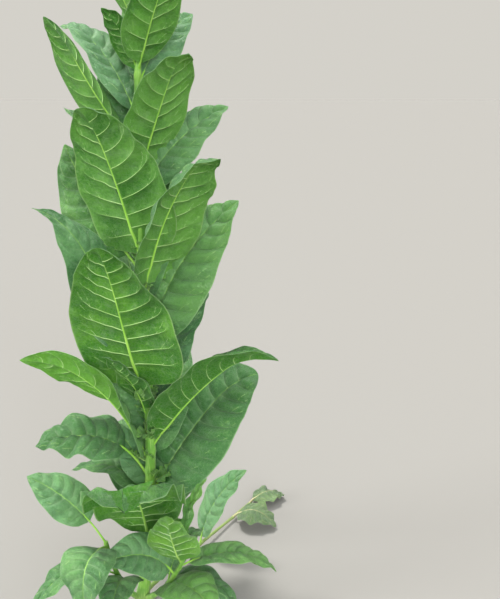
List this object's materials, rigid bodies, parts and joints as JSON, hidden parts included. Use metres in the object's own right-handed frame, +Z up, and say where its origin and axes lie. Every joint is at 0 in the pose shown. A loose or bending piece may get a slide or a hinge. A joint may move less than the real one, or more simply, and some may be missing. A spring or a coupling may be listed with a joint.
{
  "type": "tobacco plant",
  "caption": "Tall leafy tobacco plant in growth, rooted in the ground: one upright stem with broad stalked leaves, side shoots and a fallen shoot at its foot.",
  "frame": {"origin": "middle of the flat cut under the main stem, at ground level", "axes": "+Z up along the stem, -Y towards the side that the picture shows, +X to the right seen from there"},
  "size_m": [0.6147, 0.7195, 1.463],
  "materials": {
    "stem": "satin",
    "leaf": "satin",
    "young_leaf": "satin",
    "wilted_leaf": "matte"
  },
  "bodies": {
    "root": {"main_stem": "stem", "left_sucker": "stem", "right_sucker": "stem", "fallen_shoot": "stem", "terminal_bud": "young_leaf", "leaf_bud_front": "young_leaf", "leaf_bud_right": "young_leaf", "leaf_bud_back": "young_leaf", "leaf_crown_right": "young_leaf", "leaf_crown_left": "young_leaf", "leaf_crown_back": "young_leaf", "leaf_top_left_small": "leaf", "leaf_top_front": "leaf", "leaf_top_right_grey": "leaf", "leaf_top_left_grey": "leaf", "leaf_high_left": "leaf", "leaf_high_front": "leaf", "leaf_high_right": "leaf", "leaf_upper_front": "leaf", "leaf_upper_left_dark": "leaf", "leaf_upper_right_front": "leaf", "leaf_mid_left_curled": "leaf", "leaf_mid_right_pale": "leaf", "leaf_mid_back_right": "leaf", "leaf_mid_front_great": "leaf", "leaf_low_left_under": "leaf", "leaf_low_right_folded": "leaf", "leaf_low_left_folded": "leaf", "leaf_low_left_crumpled": "leaf", "leaf_low_right_great": "leaf", "leaf_foot_left_round": "leaf", "leaf_foot_left_back": "leaf", "leaf_foot_front_draped": "leaf", "leaf_back_high": "leaf", "leaf_back_high_left": "leaf", "leaf_back_upper_right": "leaf", "leaf_back_upper_left": "leaf", "leaf_back_upper": "leaf", "leaf_back_mid_right": "leaf", "leaf_back_mid_left": "leaf", "leaf_back_mid": "leaf", "leaf_back_low_left": "leaf", "leaf_back_low_right": "leaf", "leaf_back_low": "leaf", "leaf_back_foot_right": "leaf", "leaf_sucker_left_out": "leaf", "leaf_sucker_left_down": "leaf", "leaf_sucker_left_low": "leaf", "leaf_sucker_front": "leaf", "leaf_sucker_right_in": "leaf", "leaf_sucker_right_up": "young_leaf", "leaf_sucker_right_fold": "young_leaf", "leaf_sucker_right_small": "young_leaf", "leaf_sucker_right_out": "leaf", "leaf_sucker_right_front": "leaf", "leaf_sucker_right_dim": "leaf", "leaf_sucker_right_foot": "leaf", "leaf_shoot_upright": "leaf", "leaf_shoot_wilted_near": "wilted_leaf", "leaf_shoot_wilted_tip": "wilted_leaf"}
  },
  "joints": []
}
